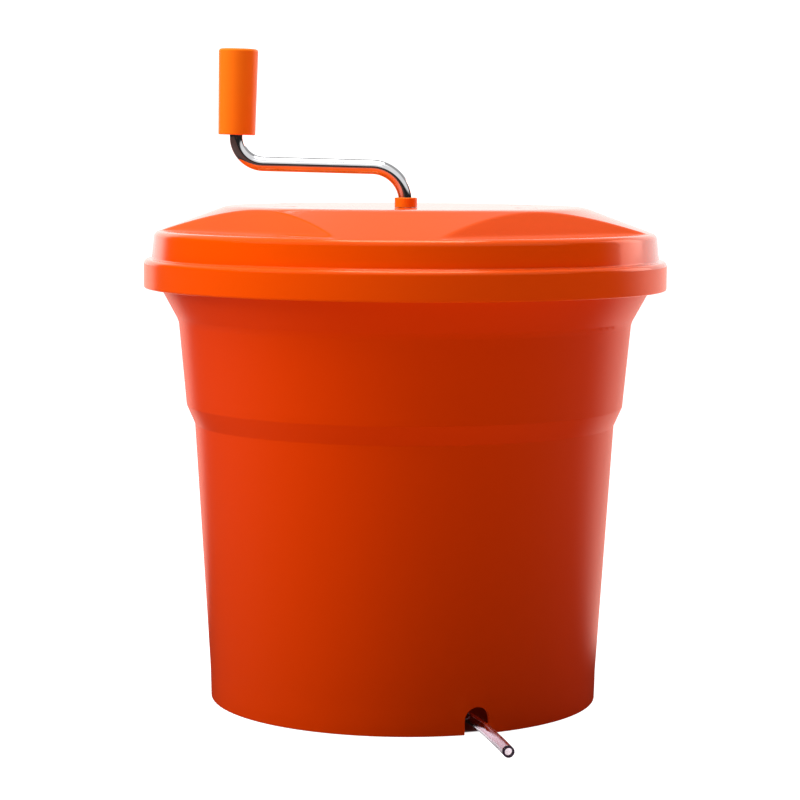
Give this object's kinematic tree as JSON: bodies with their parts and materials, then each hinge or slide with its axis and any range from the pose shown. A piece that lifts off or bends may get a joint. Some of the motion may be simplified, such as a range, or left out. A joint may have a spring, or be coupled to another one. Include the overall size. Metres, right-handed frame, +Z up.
{
  "type": "salad spinner",
  "caption": "Hand-cranked salad spinner: stepped, flared tub on a hollow foot ring with a drain tube, glossy faceted lid with an off-centre crank and a geared inner basket.",
  "frame": {"origin": "centre of the tank's foot ring, on the surface that it stands on", "axes": "+Z up along the basket's axis; the crank's shaft is offset towards -Y, the front, and the arm points to -X at rest"},
  "size_m": [0.4288, 0.4385, 0.5322],
  "materials": {
    "tank_plastic": "satin injection-moulded orange plastic",
    "lid_plastic": "glossy injection-moulded orange plastic",
    "grip_plastic": "satin bright orange plastic",
    "chromed_steel": "bright chrome plating on a round bar",
    "basket_plastic": "natural white moulded plastic",
    "carrier_plastic": "satin orange moulded plastic",
    "gear_plastic": "off-white gear plastic",
    "bush_plastic": "dark bearing plastic",
    "stainless_steel": "turned stainless steel",
    "fitting_plastic": "dark moulded plastic",
    "seal_rubber": "matt rubber",
    "clear_pvc": "clear flexible hose with a faint pink tint"
  },
  "bodies": {
    "tank": {"tank": "tank_plastic", "basket_pivot_pin": "stainless_steel", "drain_elbow": "fitting_plastic", "drain_gasket": "seal_rubber", "drain_nut": "fitting_plastic", "drain_tube": "clear_pvc"},
    "lid": {"lid_shell": "lid_plastic", "screw_caps": "lid_plastic", "gear_carrier": "carrier_plastic", "carrier_seal": "seal_rubber", "carrier_screws": "stainless_steel", "crank_bush_upper": "bush_plastic", "crank_bush_lower": "bush_plastic", "driver_bush_upper": "bush_plastic", "driver_bush_lower": "bush_plastic"},
    "crank": {"crank_rod": "chromed_steel", "crank_collar": "grip_plastic", "drive_gear": "gear_plastic", "gear_pin": "stainless_steel", "crank_washer": "stainless_steel", "crank_circlip": "stainless_steel", "grip_retainer": "stainless_steel"},
    "grip": {"crank_grip": "grip_plastic", "grip_cap": "grip_plastic"},
    "driver": {"driver_pinion": "gear_plastic", "driver_disc": "basket_plastic", "driver_screw": "stainless_steel", "driver_washer": "stainless_steel"},
    "basket": {"basket": "basket_plastic", "basket_bush": "bush_plastic"}
  },
  "joints": [
    {"name": "lid_lift", "type": "slide", "parent": "tank", "child": "lid", "axis": [0, 0, 1], "range_m": [0, 0.4]},
    {"name": "crank_turn", "type": "hinge", "parent": "lid", "child": "crank", "pos_m": [0, -0.056, 0.4], "axis": [0, 0, 1], "continuous": true},
    {"name": "grip_spin", "type": "hinge", "parent": "crank", "child": "grip", "pos_m": [-0.1356, -0.056, 0.44144], "axis": [0.0209, 0, 0.9998], "continuous": true},
    {"name": "driver_spin", "type": "hinge", "parent": "lid", "child": "driver", "pos_m": [0, 0, 0.37], "axis": [0, 0, 1], "continuous": true},
    {"name": "basket_spin", "type": "hinge", "parent": "tank", "child": "basket", "pos_m": [0, 0, 0.06], "axis": [0, 0, 1], "continuous": true}
  ],
  "couplings": [
    {"joint": "driver_spin", "follows": "crank_turn", "ratio": -3},
    {"joint": "basket_spin", "follows": "crank_turn", "ratio": -3}
  ]
}
